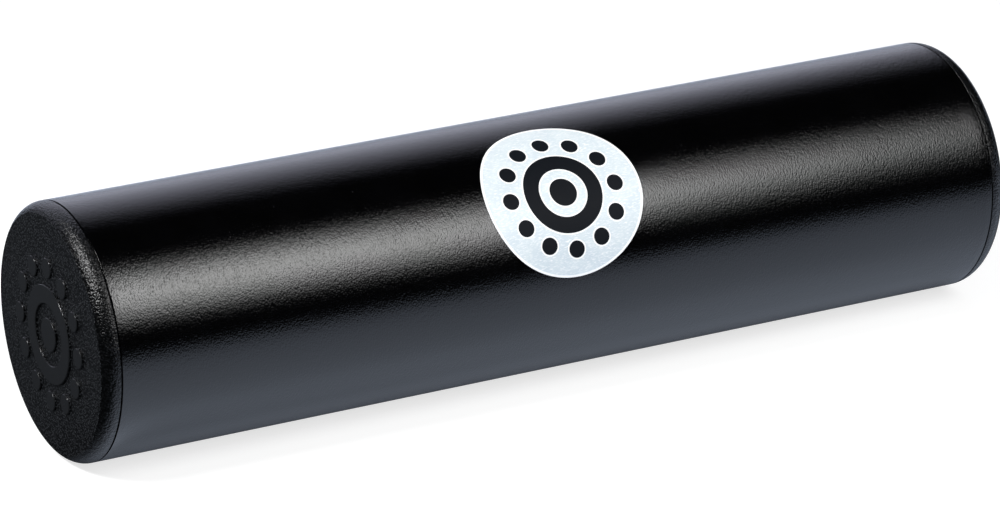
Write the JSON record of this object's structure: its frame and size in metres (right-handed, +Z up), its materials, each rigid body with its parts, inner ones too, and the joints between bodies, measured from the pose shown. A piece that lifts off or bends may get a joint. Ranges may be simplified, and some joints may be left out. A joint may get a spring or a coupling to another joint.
{
  "type": "ganza shaker",
  "caption": "Black coated metal tube shaker, closed at both ends by pressed-in moulded caps, with a round foil sticker outside and loose steel shot inside.",
  "frame": {"origin": "middle of the tube, on its axis, halfway between the two caps", "axes": "+X along the tube from the near cap to the far cap, +Z up as the shaker lies on a table, -Y to the side that the sticker's lower edge faces"},
  "size_m": [0.2376, 0.06, 0.06],
  "materials": {
    "tube_coating": "satin",
    "cap_plastic": "matte",
    "sticker_foil": "satin",
    "shot_steel": "polished"
  },
  "bodies": {
    "shaker_shell": {"tube": "tube_coating", "near_cap": "cap_plastic", "far_cap": "cap_plastic", "sticker": "sticker_foil"},
    "shot_row_01": {"shot_row_01": "shot_steel"},
    "shot_row_02": {"shot_row_02": "shot_steel"},
    "shot_row_03": {"shot_row_03": "shot_steel"},
    "shot_row_04": {"shot_row_04": "shot_steel"},
    "shot_row_05": {"shot_row_05": "shot_steel"},
    "shot_row_06": {"shot_row_06": "shot_steel"},
    "shot_row_07": {"shot_row_07": "shot_steel"},
    "shot_row_08": {"shot_row_08": "shot_steel"},
    "shot_row_09": {"shot_row_09": "shot_steel"},
    "shot_row_10": {"shot_row_10": "shot_steel"},
    "shot_row_11": {"shot_row_11": "shot_steel"},
    "shot_row_12": {"shot_row_12": "shot_steel"},
    "shot_row_13": {"shot_row_13": "shot_steel"},
    "shot_row_14": {"shot_row_14": "shot_steel"},
    "shot_row_15": {"shot_row_15": "shot_steel"},
    "shot_row_16": {"shot_row_16": "shot_steel"}
  },
  "joints": [
    {"name": "shot_swing", "type": "hinge", "parent": "shaker_shell", "child": "shot_row_01", "pos_m": [0, 0, 0], "axis": [1, 0, 0], "continuous": true},
    {"name": "shot_row_02_slide", "type": "slide", "parent": "shot_row_01", "child": "shot_row_02", "axis": [1, 0, 0], "range_m": [-0.0489, 0.0489]},
    {"name": "shot_row_03_slide", "type": "slide", "parent": "shot_row_01", "child": "shot_row_03", "axis": [1, 0, 0], "range_m": [-0.0489, 0.0489]},
    {"name": "shot_row_04_slide", "type": "slide", "parent": "shot_row_01", "child": "shot_row_04", "axis": [1, 0, 0], "range_m": [-0.0489, 0.0489]},
    {"name": "shot_row_05_slide", "type": "slide", "parent": "shot_row_01", "child": "shot_row_05", "axis": [1, 0, 0], "range_m": [-0.0489, 0.0489]},
    {"name": "shot_row_06_slide", "type": "slide", "parent": "shot_row_01", "child": "shot_row_06", "axis": [1, 0, 0], "range_m": [-0.0489, 0.0489]},
    {"name": "shot_row_07_slide", "type": "slide", "parent": "shot_row_01", "child": "shot_row_07", "axis": [1, 0, 0], "range_m": [-0.0489, 0.0489]},
    {"name": "shot_row_08_slide", "type": "slide", "parent": "shot_row_01", "child": "shot_row_08", "axis": [1, 0, 0], "range_m": [-0.0489, 0.0489]},
    {"name": "shot_row_09_slide", "type": "slide", "parent": "shot_row_01", "child": "shot_row_09", "axis": [1, 0, 0], "range_m": [-0.0489, 0.0489]},
    {"name": "shot_row_10_slide", "type": "slide", "parent": "shot_row_01", "child": "shot_row_10", "axis": [1, 0, 0], "range_m": [-0.0489, 0.0489]},
    {"name": "shot_row_11_slide", "type": "slide", "parent": "shot_row_01", "child": "shot_row_11", "axis": [1, 0, 0], "range_m": [-0.0489, 0.0489]},
    {"name": "shot_row_12_slide", "type": "slide", "parent": "shot_row_01", "child": "shot_row_12", "axis": [1, 0, 0], "range_m": [-0.0489, 0.0489]},
    {"name": "shot_row_13_slide", "type": "slide", "parent": "shot_row_01", "child": "shot_row_13", "axis": [1, 0, 0], "range_m": [-0.0489, 0.0489]},
    {"name": "shot_row_14_slide", "type": "slide", "parent": "shot_row_01", "child": "shot_row_14", "axis": [1, 0, 0], "range_m": [-0.0489, 0.0489]},
    {"name": "shot_row_15_slide", "type": "slide", "parent": "shot_row_01", "child": "shot_row_15", "axis": [1, 0, 0], "range_m": [-0.0489, 0.0489]},
    {"name": "shot_row_16_slide", "type": "slide", "parent": "shot_row_01", "child": "shot_row_16", "axis": [1, 0, 0], "range_m": [-0.0489, 0.0489]}
  ]
}
